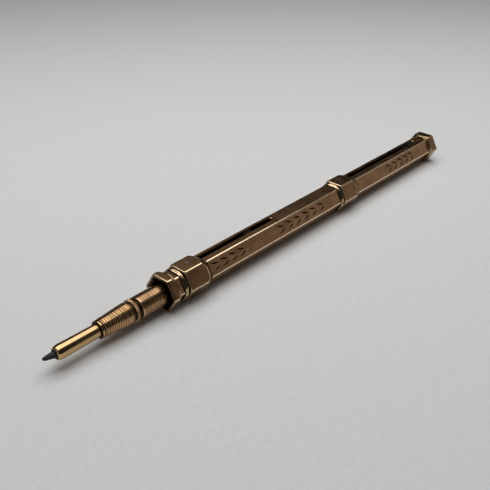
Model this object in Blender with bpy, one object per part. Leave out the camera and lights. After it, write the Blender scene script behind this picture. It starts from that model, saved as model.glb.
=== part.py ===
"""A hexagonal slide-out pencil and pen holder, in brass with a gold skin.

Two sliders ride on one hexagonal barrel. The front one carries a propelling pencil out of the
mouth, and the rear one carries a dip-pen nib out of the other end. Turning the pencil's nozzle
makes a spiral push the lead. Sizes below are millimetres along the barrel's axis, measured from
the mouth's front plane towards the rear, or millimetres from that axis.
"""

import math

import bmesh
import bpy

MM = 0.001

# Across the flats of each hexagon
BARREL_AF = 6.0
BORE_AF = 5.4
RING_AF = 7.2
SLIDER_AF = 7.1
SADDLE_AF = 5.24
FIT = 0.05  # clearance on each side of pieces that nest or slide

# Ends of the whole object
LEAD_TIP_X = -27.1
END_X = 102.6

# Barrel and its two fixed rings
RING_WALL = 0.4
MOUTH_RING_LENGTH = 2.2
END_RING_X = 99.1

# Slots in the barrel's top face, and the sliders' pins that run in them
SLOT_WIDTH = 1.28
SLOT_Y = 0.42
PIN_RADIUS = 0.4
SLOT_END_ROOM = 0.1
FRONT_SLIDER_X = 3.55
REAR_SLIDER_X = 56.2
SLIDER_LENGTH = 6.95
PIN_FROM_SLIDER_FRONT = 4.2
FRONT_SLOT_END = 34.14
REAR_SLOT_END = 95.8

# The tubes of the pencil and the pen lie low in the barrel, just over the bottom flat of its bore
TUBE_RADIUS = 2.3
TUBE_ROOM = 0.12  # left under each tube
TUBE_DROP = BORE_AF / 2 - TUBE_RADIUS - TUBE_ROOM
SADDLE_LOW_Z = -0.5
SADDLE_LENGTH = 4.0

# The sliding pencil's body, and the turned nozzle ahead of it
TUBE_WALL = 0.25
BODY_FRONT_X = -6.2
BODY_REAR_X = 27.5
NOZZLE_FRONT_X = -24.65
NOZZLE_FRONT_RADIUS = 1.43
NOZZLE_REAR_RADIUS = 1.33
LEAD_RADIUS = 0.75
LEAD_WEAR = 0.3  # how far above its axis the lead's point is worn
CONE_FRONT_X = -15.45
CONE_REAR_X = -8.54
MILLED_FRONT_X = -7.65
MILLED_REAR_X = -6.95
STEM_RADIUS = 1.98

# Lead drive: a pin on the push rod runs in the guide tube's slot and in the spiral's gap
SPIRAL_PITCH = 3.0
SPIRAL_STRIP = 2.3
SPIRAL_X = (-4.0, 15.0)
SPIRAL_RADII = (1.42, 2.0)
GUIDE_RADII = (0.95, 1.35)
FOLLOWER_X = 9.0
FOLLOWER_RADIUS = 0.22
LEAD_REAR_X = -10.5
FEED_OUT = 9.0
FEED_BACK = 2.5

# The sliding pen
PEN_TUBE_X = (57.0, 80.0)
NIB_X = (74.0, 86.0, 100.0)  # heel, shoulder, point
NIB_RADIUS = 1.95
NIB_THICKNESS = 0.25

CENTRE_X = (LEAD_TIP_X + END_X) / 2
AXIS_Z = RING_AF / 2
SIDES = 48
PIN_SIDES = 16


def clear_scene():
    for item in list(bpy.data.objects):
        bpy.data.objects.remove(item, do_unlink=True)


def metal(name, colour, roughness, metallic=1.0):
    material = bpy.data.materials.new(name)
    material.use_nodes = True
    shader = material.node_tree.nodes["Principled BSDF"]
    shader.inputs["Base Color"].default_value = (*colour, 1.0)
    shader.inputs["Roughness"].default_value = roughness
    shader.inputs["Metallic"].default_value = metallic
    return material


def axis_empty(name, parent=None, drop=0.0):
    """An empty at the mouth, on the axis of the pieces that it holds. Drop is how far that axis
    lies under its parent's."""
    empty = bpy.data.objects.new(name, None)
    empty.empty_display_size = 5 * MM
    bpy.context.scene.collection.objects.link(empty)
    if parent:
        empty.parent = parent
        empty.location = (0, 0, -drop * MM)
    else:
        empty.location = (-CENTRE_X * MM, 0, AXIS_Z * MM)
    return empty


def finish_object(name, bm, group, material=None):
    """Links the mesh as an object. Without a material it is a hidden helper for a Boolean."""
    bmesh.ops.recalc_face_normals(bm, faces=bm.faces)
    mesh = bpy.data.meshes.new(name)
    bm.to_mesh(mesh)
    bm.free()
    piece = bpy.data.objects.new(name, mesh)
    piece.parent = group
    bpy.context.scene.collection.objects.link(piece)
    if material:
        mesh.materials.append(material)
        mesh.shade_smooth()
        mesh.set_sharp_from_angle(angle=math.radians(28))
    else:
        piece.hide_render = True
        piece.display_type = "WIRE"
    return piece


def turned(name, outline, group, material=None, sides=SIDES):
    """A body turned about the X axis. The outline is (x, radius) points, and it closes on
    itself unless it starts on the axis."""
    bm = bmesh.new()
    points = [bm.verts.new((x * MM, radius * MM, 0)) for x, radius in outline]
    edges = [bm.edges.new(pair) for pair in zip(points, points[1:])]
    if outline[0][1] > 0:
        edges.append(bm.edges.new((points[-1], points[0])))
    bmesh.ops.spin(
        bm,
        geom=points + edges,
        cent=(0, 0, 0),
        axis=(1, 0, 0),
        angle=2 * math.pi,
        steps=sides,
        use_merge=True,
    )
    bmesh.ops.remove_doubles(bm, verts=bm.verts, dist=0.0001 * MM)
    return finish_object(name, bm, group, material)


def hexagonal(name, outline, group, material=None):
    """A body with six flats, one of them facing up. The outline is (x, distance of the flat)."""
    corner = 1 / math.cos(math.pi / 6)
    return turned(name, [(x, flat * corner) for x, flat in outline], group, material, sides=6)


def tube_outline(x_start, x_end, inner, outer):
    return [(x_start, outer), (x_end, outer), (x_end, inner), (x_start, inner)]


def rod_outline(x_start, x_end, radius):
    return [(x_start, 0), (x_start, radius), (x_end, radius), (x_end, 0)]


def combine(piece, helper, operation):
    modifier = piece.modifiers.new(operation.title() + " " + helper.name, "BOOLEAN")
    modifier.operation = operation
    modifier.object = helper
    modifier.solver = "EXACT"


def cut(piece, cutter):
    combine(piece, cutter, "DIFFERENCE")


def keep_inside(piece, envelope):
    combine(piece, envelope, "INTERSECT")


def upright_prism(name, outline, z_low, z_high, group, material=None):
    """The (x, y) outline extruded upwards."""
    bm = bmesh.new()
    base = bm.faces.new([bm.verts.new((x * MM, y * MM, z_low * MM)) for x, y in outline])
    made = bmesh.ops.extrude_face_region(bm, geom=[base])["geom"]
    raised = [item for item in made if isinstance(item, bmesh.types.BMVert)]
    bmesh.ops.translate(bm, verts=raised, vec=(0, 0, (z_high - z_low) * MM))
    return finish_object(name, bm, group, material)


def arc(x, y, radius, start, end, steps):
    turn = (end - start) / steps
    angles = [start + turn * step for step in range(steps + 1)]
    return [(x + radius * math.cos(angle), y + radius * math.sin(angle)) for angle in angles]


def slot_outline(x_start, x_end, width, y):
    """A slot with round ends, given by where its ends reach."""
    radius = width / 2
    quarter = math.pi / 2
    rear = arc(x_end - radius, y, radius, -quarter, quarter, PIN_SIDES)
    front = arc(x_start + radius, y, radius, quarter, 3 * quarter, PIN_SIDES)
    return rear + front


def circle_outline(x, y, radius):
    return arc(x, y, radius, 0, 2 * math.pi, PIN_SIDES)[:-1]


def chamfered_hexagon(name, flats, envelope, group, material):
    """A hexagonal ring whose corners and ends are turned down to the envelope's outline."""
    ring = hexagonal(name, flats, group, material)
    turning = turned(name + "_turning", envelope, group)
    keep_inside(ring, turning)
    return ring


def ring_envelope(x_start, x_end, lip_at_end):
    """A nut-like ring: full width for its hexagon, then a cone, a groove and a narrow lip."""
    full = RING_AF / math.sqrt(3) + 0.01
    lip = 0.22
    groove = 0.20
    cone = 0.65
    steps = [
        (0.0, full - 0.35),
        (0.22, full),
        (x_end - x_start - lip - groove - cone, full),
        (x_end - x_start - lip - groove, 3.66),
        (x_end - x_start - lip - groove / 2, 3.58),
        (x_end - x_start - lip, 3.66),
        (x_end - x_start, 3.56),
    ]
    if lip_at_end:
        side = [(x_start + x, radius) for x, radius in steps]
    else:
        side = [(x_end - x, radius) for x, radius in reversed(steps)]
    return [(side[0][0], 0)] + side + [(side[-1][0], 0)]


def make_barrel(group, gold, dark_gold):
    outer = BARREL_AF / 2
    inner = BORE_AF / 2
    barrel = hexagonal(
        "barrel",
        tube_outline(RING_WALL + FIT, END_X - RING_WALL - FIT, inner, outer),
        group,
        dark_gold,
    )
    for name, slider_x, slot_end in (
        ("front_slot", FRONT_SLIDER_X, FRONT_SLOT_END),
        ("rear_slot", REAR_SLIDER_X, REAR_SLOT_END),
    ):
        pin_x = slider_x + PIN_FROM_SLIDER_FRONT
        slot_start = pin_x - PIN_RADIUS - SLOT_END_ROOM
        outline = slot_outline(slot_start, slot_end, SLOT_WIDTH, SLOT_Y)
        cut(barrel, upright_prism(name, outline, inner - 0.5, outer + 0.5, group))

    socket = outer + FIT
    mouth_flats = [
        (0, RING_AF / 2),
        (MOUTH_RING_LENGTH, RING_AF / 2),
        (MOUTH_RING_LENGTH, socket),
        (RING_WALL, socket),
        (RING_WALL, inner),
        (0, inner),
    ]
    envelope = ring_envelope(0, MOUTH_RING_LENGTH, lip_at_end=True)
    chamfered_hexagon("mouth_ring", mouth_flats, envelope, group, gold)
    end_flats = [
        (END_RING_X, RING_AF / 2),
        (END_X, RING_AF / 2),
        (END_X, inner),
        (END_X - RING_WALL, inner),
        (END_X - RING_WALL, socket),
        (END_RING_X, socket),
    ]
    envelope = ring_envelope(END_RING_X, END_X, lip_at_end=False)
    chamfered_hexagon("end_ring", end_flats, envelope, group, gold)


def make_saddle(name, x, length, group, metal_skin):
    """A block over the tube's upper half that fills the barrel's bore above it."""
    saddle = hexagonal(name, rod_outline(x, x + length, SADDLE_AF / 2), group, metal_skin)
    tube_room = turned(name + "_bore", rod_outline(x - 1, x + length + 1, TUBE_RADIUS + FIT), group)
    tube_room.location.z = -TUBE_DROP * MM
    cut(saddle, tube_room)
    below = [(x - 1, -4), (x + length + 1, -4), (x + length + 1, 4), (x - 1, 4)]
    cut(saddle, upright_prism(name + "_underside", below, -4, SADDLE_LOW_Z, group))
    return saddle


def make_slider(side, carried, x, group, gold):
    """A slider over the barrel, the saddle inside the barrel, and the pin that joins them."""
    full = SLIDER_AF / math.sqrt(3) + 0.01
    bore = BARREL_AF / 2 + FIT
    outline = tube_outline(x, x + SLIDER_LENGTH, bore, SLIDER_AF / 2)
    side_line = [
        (0.0, 3.3),
        (0.4, 3.72),
        (0.6, 3.72),
        (0.8, 3.60),
        (1.0, 3.72),
        (1.35, full),
        (5.75, full),
        (SLIDER_LENGTH, 3.55),
    ]
    envelope = [(x, 0)] + [(x + along, r) for along, r in side_line] + [(x + SLIDER_LENGTH, 0)]
    slider = chamfered_hexagon(side + "_slider", outline, envelope, group, gold)

    pin_x = x + PIN_FROM_SLIDER_FRONT
    saddle_x = pin_x - SADDLE_LENGTH / 2
    saddle = make_saddle(carried + "_saddle", saddle_x, SADDLE_LENGTH, group, gold)
    hole = circle_outline(pin_x, SLOT_Y, PIN_RADIUS + FIT)
    drill = upright_prism(side + "_pin_drill", hole, 1.0, 5.0, group)
    cut(slider, drill)
    cut(saddle, drill)
    pin_low = TUBE_RADIUS - TUBE_DROP + 3 * FIT
    pin = circle_outline(pin_x, SLOT_Y, PIN_RADIUS)
    upright_prism(side + "_slider_pin", pin, pin_low, SLIDER_AF / 2 - 0.03, group, gold)


def make_pencil_body(group, gold, brass):
    tube_bore = TUBE_RADIUS - TUBE_WALL
    outline = tube_outline(BODY_FRONT_X, BODY_REAR_X, tube_bore, TUBE_RADIUS)
    turned("pencil_body_tube", outline, group, gold)

    plug = [
        (BODY_REAR_X - 1.2, 0),
        (BODY_REAR_X - 1.2, tube_bore - FIT),
        (BODY_REAR_X + FIT, tube_bore - FIT),
        (BODY_REAR_X + FIT, TUBE_RADIUS),
        (BODY_REAR_X + 0.4, TUBE_RADIUS),
        (BODY_REAR_X + 0.4, 0),
    ]
    turned("tail_plug", plug, group, brass)
    make_spiral(group, brass)


def make_tail_saddle(group, brass):
    length = 2.3
    make_saddle("tail_saddle", BODY_REAR_X - 0.1 - length, length, group, brass)


def make_spiral(group, brass):
    """A strip wound as a right-hand helix. Its gap passes the follower pin, which points up."""
    x_start, x_end = SPIRAL_X
    turns = (x_end - x_start) / SPIRAL_PITCH
    steps_per_turn = 24
    count = round(turns * steps_per_turn)
    half = SPIRAL_STRIP / 2
    pin_angle = math.pi / 2
    gap_turns = 0.5 - (FOLLOWER_X - x_start) / SPIRAL_PITCH
    first_angle = pin_angle + 2 * math.pi * gap_turns
    section = [
        (-half, SPIRAL_RADII[1]),
        (half, SPIRAL_RADII[1]),
        (half, SPIRAL_RADII[0]),
        (-half, SPIRAL_RADII[0]),
    ]
    bm = bmesh.new()
    rings = []
    for step in range(count + 1):
        angle = first_angle + 2 * math.pi * step / steps_per_turn
        middle = x_start + SPIRAL_PITCH * step / steps_per_turn
        rings.append(
            [
                bm.verts.new(
                    (
                        (middle + along) * MM,
                        radius * math.cos(angle) * MM,
                        radius * math.sin(angle) * MM,
                    )
                )
                for along, radius in section
            ]
        )
    for ring, following in zip(rings, rings[1:]):
        for corner in range(4):
            other = (corner + 1) % 4
            bm.faces.new((ring[corner], ring[other], following[other], following[corner]))
    bm.faces.new(rings[0])
    bm.faces.new(rings[-1])
    finish_object("lead_spiral", bm, group, brass)


def make_nozzle(group, gold, brass):
    bore = LEAD_RADIUS + 0.07
    nozzle_rear = CONE_FRONT_X + 5.0
    stem = NOZZLE_REAR_RADIUS - 0.08
    nozzle = [
        (NOZZLE_FRONT_X, 0.95),
        (NOZZLE_FRONT_X + 0.12, 1.13),
        (NOZZLE_FRONT_X + 0.40, 1.30),
        (NOZZLE_FRONT_X + 1.00, NOZZLE_FRONT_RADIUS),
        (CONE_FRONT_X - FIT, NOZZLE_REAR_RADIUS),
        (CONE_FRONT_X - FIT, stem),
        (nozzle_rear, stem),
        (nozzle_rear, bore),
        (NOZZLE_FRONT_X, bore),
    ]
    turned("nozzle_tube", nozzle, group, gold)

    cone_socket = stem + FIT
    cone = [
        (CONE_FRONT_X, cone_socket),
        (CONE_FRONT_X, 1.62),
        (CONE_FRONT_X + 0.2, 1.78),
        (CONE_FRONT_X + 0.45, 1.78),
        (CONE_FRONT_X + 0.62, 1.66),
        (CONE_FRONT_X + 0.78, 1.84),
        (-12.9, 1.95),
        (-10.7, 2.12),
        (CONE_REAR_X, 2.26),
        (CONE_REAR_X, STEM_RADIUS),
        (BODY_FRONT_X + 0.9, STEM_RADIUS),
        (BODY_FRONT_X + 0.9, GUIDE_RADII[1] + FIT),
        (nozzle_rear + FIT, GUIDE_RADII[1] + FIT),
        (nozzle_rear + FIT, cone_socket),
    ]
    turned("grip_cone", cone, group, gold)

    ring_bore = STEM_RADIUS + FIT
    ring = tube_outline(MILLED_FRONT_X, MILLED_REAR_X, ring_bore, TUBE_RADIUS)
    turned("milled_ring", ring, group, gold)

    guide_front = nozzle_rear + 2 * FIT
    guide_rear = SPIRAL_X[1] + 3.2
    guide = turned("guide_tube", tube_outline(guide_front, guide_rear, *GUIDE_RADII), group, brass)
    room = FOLLOWER_RADIUS + SLOT_END_ROOM
    track = slot_outline(
        FOLLOWER_X - FEED_OUT - room,
        FOLLOWER_X + FEED_BACK + room,
        2 * (FOLLOWER_RADIUS + FIT),
        0,
    )
    cut(guide, upright_prism("guide_track", track, 0.5, 2.0, group))

    collar_x = SPIRAL_X[1] + SPIRAL_STRIP / 2 + 0.2
    collar = tube_outline(collar_x, collar_x + 1.2, GUIDE_RADII[1] + FIT, TUBE_RADIUS - TUBE_WALL - 0.1)
    turned("retaining_collar", collar, group, brass)


def make_lead(group, graphite, steel):
    lead = [
        (LEAD_TIP_X, 0),
        (LEAD_TIP_X, 0.24),
        (LEAD_TIP_X + 0.12, 0.34),
        (NOZZLE_FRONT_X + 0.1, LEAD_RADIUS),
        (LEAD_REAR_X, LEAD_RADIUS),
        (LEAD_REAR_X, 0),
    ]
    stick = turned("lead", lead, group, graphite)
    for vertex in stick.data.vertices:
        ahead = NOZZLE_FRONT_X - vertex.co.x / MM
        if ahead > 0:
            vertex.co.z += LEAD_WEAR * MM * ahead / (NOZZLE_FRONT_X - LEAD_TIP_X)
    rod_radius = LEAD_RADIUS - 0.05
    rod = turned(
        "push_rod",
        rod_outline(LEAD_REAR_X + FIT, FOLLOWER_X + 0.8, rod_radius),
        group,
        steel,
    )
    hole = circle_outline(FOLLOWER_X, 0, FOLLOWER_RADIUS + FIT)
    cut(rod, upright_prism("follower_drill", hole, -0.3, 1.0, group))
    pin = circle_outline(FOLLOWER_X, 0, FOLLOWER_RADIUS)
    upright_prism("follower_pin", pin, -0.25, 1.85, group, steel)


def make_pen(group, gold, brass, steel):
    front, rear = PEN_TUBE_X
    tube_bore = NIB_RADIUS + FIT
    turned("pen_tube", tube_outline(front, rear, tube_bore, TUBE_RADIUS), group, gold)
    plug = [
        (front - 0.35, 0),
        (front - 0.35, TUBE_RADIUS),
        (front - FIT, TUBE_RADIUS),
        (front - FIT, tube_bore - FIT),
        (front + 1.5, tube_bore - FIT),
        (front + 1.5, 0),
    ]
    turned("pen_plug", plug, group, brass)
    core_radius = NIB_RADIUS - NIB_THICKNESS - FIT
    core = [
        (NIB_X[0] - 2.0, 0),
        (NIB_X[0] - 2.0, core_radius),
        (rear + 1.0, core_radius),
        (rear + 2.2, core_radius * 0.6),
        (rear + 2.2, 0),
    ]
    turned("nib_core", core, group, brass)
    make_nib(group, steel)


def nib_half_angle(x):
    """How far the nib's sheet wraps round its axis on each side of the top."""
    heel, shoulder, point = NIB_X
    full = math.radians(100)
    least = math.radians(3)
    if x <= shoulder:
        return full
    along = (x - shoulder) / (point - shoulder)
    return least + (full - least) * (1 - along) ** 1.35


def make_nib(group, steel):
    """A curved sheet that narrows to a point, with a breather hole and a slit to the point."""
    heel, _, point = NIB_X
    rows = 26
    columns = 12
    bm = bmesh.new()
    sheets = []
    for radius in (NIB_RADIUS, NIB_RADIUS - NIB_THICKNESS):
        sheet = []
        for row in range(rows + 1):
            x = heel + (point - heel) * row / rows
            half = nib_half_angle(x)
            line = []
            for column in range(columns + 1):
                angle = math.pi / 2 - half + 2 * half * column / columns
                y = radius * math.cos(angle)
                z = radius * math.sin(angle)
                line.append(bm.verts.new((x * MM, y * MM, z * MM)))
            sheet.append(line)
        sheets.append(sheet)
    for sheet in sheets:
        for line, following in zip(sheet, sheet[1:]):
            for column in range(columns):
                bm.faces.new(
                    (
                        line[column],
                        line[column + 1],
                        following[column + 1],
                        following[column],
                    )
                )
    outer, inner = sheets
    rim = [(row, 0) for row in range(rows)]
    rim += [(rows, column) for column in range(columns)]
    rim += [(row, columns) for row in range(rows, 0, -1)]
    rim += [(0, column) for column in range(columns, 0, -1)]
    for (row, column), (next_row, next_column) in zip(rim, rim[1:] + rim[:1]):
        bm.faces.new(
            (
                outer[row][column],
                outer[next_row][next_column],
                inner[next_row][next_column],
                inner[row][column],
            )
        )
    nib = finish_object("pen_nib", bm, group, steel)
    hole_x = point - 9.0
    breather = circle_outline(hole_x, 0, 0.32)
    cut(nib, upright_prism("nib_breather", breather, 1.0, 3.0, group))
    slit = [(hole_x, -0.03), (point + 1, -0.03), (point + 1, 0.03), (hole_x, 0.03)]
    cut(nib, upright_prism("nib_slit", slit, 1.0, 3.0, group))


def main():
    clear_scene()
    gold = metal("worn_gold", (0.47, 0.33, 0.19), 0.32)
    dark_gold = metal("aged_gold", (0.30, 0.21, 0.13), 0.42)
    brass = metal("inner_brass", (0.52, 0.38, 0.16), 0.45)
    steel = metal("blued_steel", (0.35, 0.35, 0.37), 0.30)
    graphite = metal("graphite", (0.03, 0.03, 0.035), 0.60, metallic=0.0)

    barrel_axis = axis_empty("barrel_axis")
    pencil_carriage = axis_empty("pencil_carriage", barrel_axis)
    pencil_axis = axis_empty("pencil_axis", pencil_carriage, drop=TUBE_DROP)
    nozzle_axis = axis_empty("nozzle_axis", pencil_axis)
    lead_axis = axis_empty("lead_axis", nozzle_axis)
    pen_carriage = axis_empty("pen_carriage", barrel_axis)
    pen_axis = axis_empty("pen_axis", pen_carriage, drop=TUBE_DROP)

    make_barrel(barrel_axis, gold, dark_gold)
    make_slider("front", "pencil", FRONT_SLIDER_X, pencil_carriage, gold)
    make_tail_saddle(pencil_carriage, brass)
    make_pencil_body(pencil_axis, gold, brass)
    make_nozzle(nozzle_axis, gold, brass)
    make_lead(lead_axis, graphite, steel)
    make_slider("rear", "pen", REAR_SLIDER_X, pen_carriage, gold)
    make_pen(pen_axis, gold, brass, steel)


main()
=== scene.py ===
"""Looks of the slide-out pencil and pen holder, built around the fixed frame.

The turned and hexagonal pieces are swept grids with rubbed edges, and the barrel is cut with its
slots and its engraved leaf sprays. Sizes are millimetres unless they say otherwise: x runs along
the barrel from the mouth's front plane, and radii and flats are measured from a piece's own axis.
"""

import math

import bmesh
import bpy
import numpy as np
from mathutils import Matrix, Vector


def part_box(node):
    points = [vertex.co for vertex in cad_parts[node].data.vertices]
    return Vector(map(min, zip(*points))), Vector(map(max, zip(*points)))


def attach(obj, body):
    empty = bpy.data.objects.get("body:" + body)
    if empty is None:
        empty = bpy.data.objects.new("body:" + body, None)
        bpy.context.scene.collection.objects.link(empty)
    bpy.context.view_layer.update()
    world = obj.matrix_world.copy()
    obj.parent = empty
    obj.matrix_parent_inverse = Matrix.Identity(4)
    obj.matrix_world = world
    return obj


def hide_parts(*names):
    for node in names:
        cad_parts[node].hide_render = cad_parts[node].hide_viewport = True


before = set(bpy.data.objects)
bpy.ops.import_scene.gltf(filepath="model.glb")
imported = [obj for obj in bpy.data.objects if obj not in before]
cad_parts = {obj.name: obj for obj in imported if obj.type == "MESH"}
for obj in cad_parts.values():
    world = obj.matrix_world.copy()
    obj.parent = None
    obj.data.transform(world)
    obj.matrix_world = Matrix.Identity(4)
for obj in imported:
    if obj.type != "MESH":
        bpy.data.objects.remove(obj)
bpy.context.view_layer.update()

MM = 0.001
DEGREE = math.pi / 180

MOUTH_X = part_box("mouth_ring")[0].x
BARREL_Z = (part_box("mouth_ring")[0].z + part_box("mouth_ring")[1].z) / 2
TUBE_Z = (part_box("pencil_body_tube")[0].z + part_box("pencil_body_tube")[1].z) / 2


def span(node):
    """Where a node starts and ends along the barrel."""
    low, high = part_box(node)
    return (low.x - MOUTH_X) / MM, (high.x - MOUTH_X) / MM


def flat_distance(node):
    """From a hexagonal node's axis to its flats."""
    low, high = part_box(node)
    return (high.z - low.z) / 2 / MM


def radius(node):
    """From a round node's axis to its widest surface."""
    low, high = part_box(node)
    return (high.y - low.y) / 2 / MM


def place(x, y, z):
    """A point in metres, from its place along, beside and above the barrel's axis."""
    return (MOUTH_X + x * MM, y * MM, BARREL_Z + z * MM)


BARREL_FLAT = flat_distance("barrel")
BARREL_WALL = 0.3
BORE_FLAT = BARREL_FLAT - BARREL_WALL
RING_FLAT = flat_distance("mouth_ring")
SLIDER_FLAT = flat_distance("front_slider")
SLIDE_FIT = 0.05
RIDGE_ROUNDING = 0.42


# ---------------------------------------------------------------- camera, stage and light

CAMERA_FROM_MOUTH = Vector((-79.28, -87.53, 80.98)) * MM
CAMERA_YAW = 0.6991
CAMERA_PITCH = -0.5358
CAMERA_ROLL = 0.0341
FOCAL_LENGTH = 54.2
SENSOR = 36.0
CLIP_START = 0.001

# name, centre, length and depth in metres, radiance
SOFTBOXES = (
    ("softbox", (110, 80, 350), (0.52, 0.39), 1.9),
    ("softbox_rim", (60, 130, 351), (0.60, 0.70), 0.20),
    ("softbox_far", (510, -85, 350), (0.28, 0.30), 0.24),
)

ROOM_DARK = (0.022, 0.021, 0.020, 1)
ROOM_PALE = (0.34, 0.33, 0.32, 1)
PALE_SIDE = (0.88, -0.47, 0.05)
PALE_EDGE = (0.78, 0.99)
ROOM_GREY = (0.17, 0.165, 0.16, 1)
GREY_SIDE = (-0.98, 0.0, 0.20)
GREY_EDGE = (0.50, 0.85)
BACKDROP = (0.30, 0.30, 0.30, 1)

# The reach of the floor and the distances of its painted shade towards the back are in metres
FLOOR_REACH = 0.8
CARD_DARK = (0.79, 0.79, 0.785, 1)
CARD_PALE = (0.815, 0.815, 0.81, 1)
CARD_FAR_SHADE = (0.38, 0.38, 0.382, 1)
FIBRE_SCALE = 900.0
FIBRE_EDGE = (0.4, 0.6)
FADE_WAY = (0.62, 0.785, 0)
FADE_EDGE = (0.02, 0.36)


def camera_axes():
    """The camera's right, up and forward directions."""
    level = math.cos(CAMERA_PITCH)
    forward = Vector(
        (level * math.cos(CAMERA_YAW), level * math.sin(CAMERA_YAW), math.sin(CAMERA_PITCH))
    )
    right = forward.cross(Vector((0, 0, 1))).normalized()
    up = right.cross(forward)
    cos_roll = math.cos(CAMERA_ROLL)
    sin_roll = math.sin(CAMERA_ROLL)
    return right * cos_roll + up * sin_roll, up * cos_roll - right * sin_roll, forward


def make_camera():
    right, up, forward = camera_axes()
    turn = Matrix((right, up, -forward)).transposed().to_4x4()
    data = bpy.data.cameras.new("camera")
    data.sensor_width = SENSOR
    data.lens = FOCAL_LENGTH
    data.clip_start = CLIP_START
    camera = bpy.data.objects.new("camera", data)
    mouth = Vector((MOUTH_X, 0, BARREL_Z))
    camera.matrix_world = Matrix.Translation(mouth + CAMERA_FROM_MOUTH) @ turn
    bpy.context.scene.collection.objects.link(camera)
    bpy.context.scene.camera = camera


def make_softbox(name, centre, size, radiance):
    """A flat softbox that faces straight down."""
    length, depth = size
    data = bpy.data.lights.new(name, "AREA")
    data.shape = "RECTANGLE"
    data.size = length
    data.size_y = depth
    data.energy = radiance * math.pi * length * depth
    light = bpy.data.objects.new(name, data)
    light.location = place(*centre)
    bpy.context.scene.collection.objects.link(light)


def make_world():
    """A dark room, so that the metal has contrast, with a pale wall past the pen end and a
    grey one past the lead's end. Behind the floor's edge there is a plain grey backdrop."""
    world = bpy.data.worlds.new("studio")
    bpy.context.scene.world = world
    world.use_nodes = True
    graph = Graph(world.node_tree)
    background = world.node_tree.nodes["Background"]
    direction = graph.add("ShaderNodeTexCoord").outputs["Generated"]
    pale = graph.stretch(graph.facing(direction, PALE_SIDE), *PALE_EDGE)
    grey = graph.stretch(graph.facing(direction, GREY_SIDE), *GREY_EDGE)
    room = graph.mix(grey, graph.mix(pale, ROOM_DARK, ROOM_PALE), ROOM_GREY)
    seen = graph.add("ShaderNodeLightPath").outputs["Is Camera Ray"]
    graph.link(graph.mix(seen, room, BACKDROP), background.inputs["Color"])


def make_floor():
    """Pale matt card, with painted shade that makes it darker a long way behind the object."""
    mesh = bpy.data.meshes.new("floor")
    signs = ((-1, -1), (1, -1), (1, 1), (-1, 1))
    corners = [(FLOOR_REACH * x_sign, FLOOR_REACH * y_sign, 0) for x_sign, y_sign in signs]
    mesh.from_pydata(corners, [], [(0, 1, 2, 3)])
    floor = bpy.data.objects.new("floor", mesh)
    bpy.context.scene.collection.objects.link(floor)
    material, graph, shader = new_material("matt_card")
    here = graph.here()
    fibres = graph.noise(here, FIBRE_SCALE, detail=2.0)
    card = graph.mix(graph.stretch(fibres, *FIBRE_EDGE), CARD_DARK, CARD_PALE)
    # Painted shade: the card darkens to a grey a long way behind the object.
    behind = graph.stretch(graph.facing(here, FADE_WAY), *FADE_EDGE)
    graph.link(graph.mix(behind, card, CARD_FAR_SHADE), shader.inputs["Base Color"])
    shader.inputs["Roughness"].default_value = 0.75
    shader.inputs["Specular IOR Level"].default_value = 0.2
    mesh.materials.append(material)


# ---------------------------------------------------------------- materials


class Graph:
    """Adds nodes to one node tree and links them. A socket is linked, anything else is set."""

    def __init__(self, tree):
        self.tree = tree

    def link(self, source, target):
        self.tree.links.new(source, target)

    def put(self, target, value):
        if isinstance(value, bpy.types.NodeSocket):
            self.link(value, target)
        else:
            target.default_value = value

    def add(self, kind, **settings):
        node = self.tree.nodes.new(kind)
        for name, value in settings.items():
            setattr(node, name, value)
        return node

    def math(self, operation, first, second=0.0, clamp=False):
        node = self.add("ShaderNodeMath", operation=operation, use_clamp=clamp)
        self.put(node.inputs[0], first)
        self.put(node.inputs[1], second)
        return node.outputs[0]

    def mix(self, amount, first, second):
        node = self.add("ShaderNodeMix", data_type="RGBA", clamp_factor=True)
        self.put(node.inputs["Factor"], amount)
        self.put(node.inputs[6], first)
        self.put(node.inputs[7], second)
        return node.outputs[2]

    def stretch(self, value, low, high):
        """0 at low and below, 1 at high and above, and smooth in between."""
        node = self.add("ShaderNodeMapRange", interpolation_type="SMOOTHSTEP")
        self.put(node.inputs["Value"], value)
        node.inputs["From Min"].default_value = low
        node.inputs["From Max"].default_value = high
        return node.outputs["Result"]

    def here(self):
        """The place of a point on its own object, in metres."""
        return self.add("ShaderNodeTexCoord").outputs["Object"]

    def vector_math(self, operation, vector, other=(0, 0, 0), output="Vector"):
        node = self.add("ShaderNodeVectorMath", operation=operation)
        self.put(node.inputs[0], vector)
        node.inputs[1].default_value = other
        return node.outputs[output]

    def facing(self, vector, way):
        """How far a vector reaches this way."""
        return self.vector_math("DOT_PRODUCT", vector, way, output="Value")

    def scaled(self, vector, factors):
        return self.vector_math("MULTIPLY", vector, factors)

    def noise(self, vector, scale, detail=3.0, roughness=0.55):
        node = self.add("ShaderNodeTexNoise")
        self.put(node.inputs["Vector"], vector)
        node.inputs["Scale"].default_value = scale
        node.inputs["Detail"].default_value = detail
        node.inputs["Roughness"].default_value = roughness
        return node.outputs["Fac"]

    def painted(self, name):
        """A value that the mesh holds at each point."""
        return self.add("ShaderNodeAttribute", attribute_name=name).outputs["Fac"]

    def bump(self, height, distance, strength, below=None):
        node = self.add("ShaderNodeBump")
        node.inputs["Strength"].default_value = strength
        node.inputs["Distance"].default_value = distance
        self.put(node.inputs["Height"], height)
        if below is not None:
            self.link(below, node.inputs["Normal"])
        return node.outputs["Normal"]


def new_material(name):
    """A material, its graph and its shader."""
    material = bpy.data.materials.new(name)
    material.use_nodes = True
    return material, Graph(material.node_tree), material.node_tree.nodes["Principled BSDF"]


# How far a ridge's rounding takes it down, for each millimetre of its radius
ROUNDED_OFF = 0.155
RIDGE_REACH = BARREL_FLAT / math.cos(30 * DEGREE) - ROUNDED_OFF * RIDGE_ROUNDING

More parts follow.
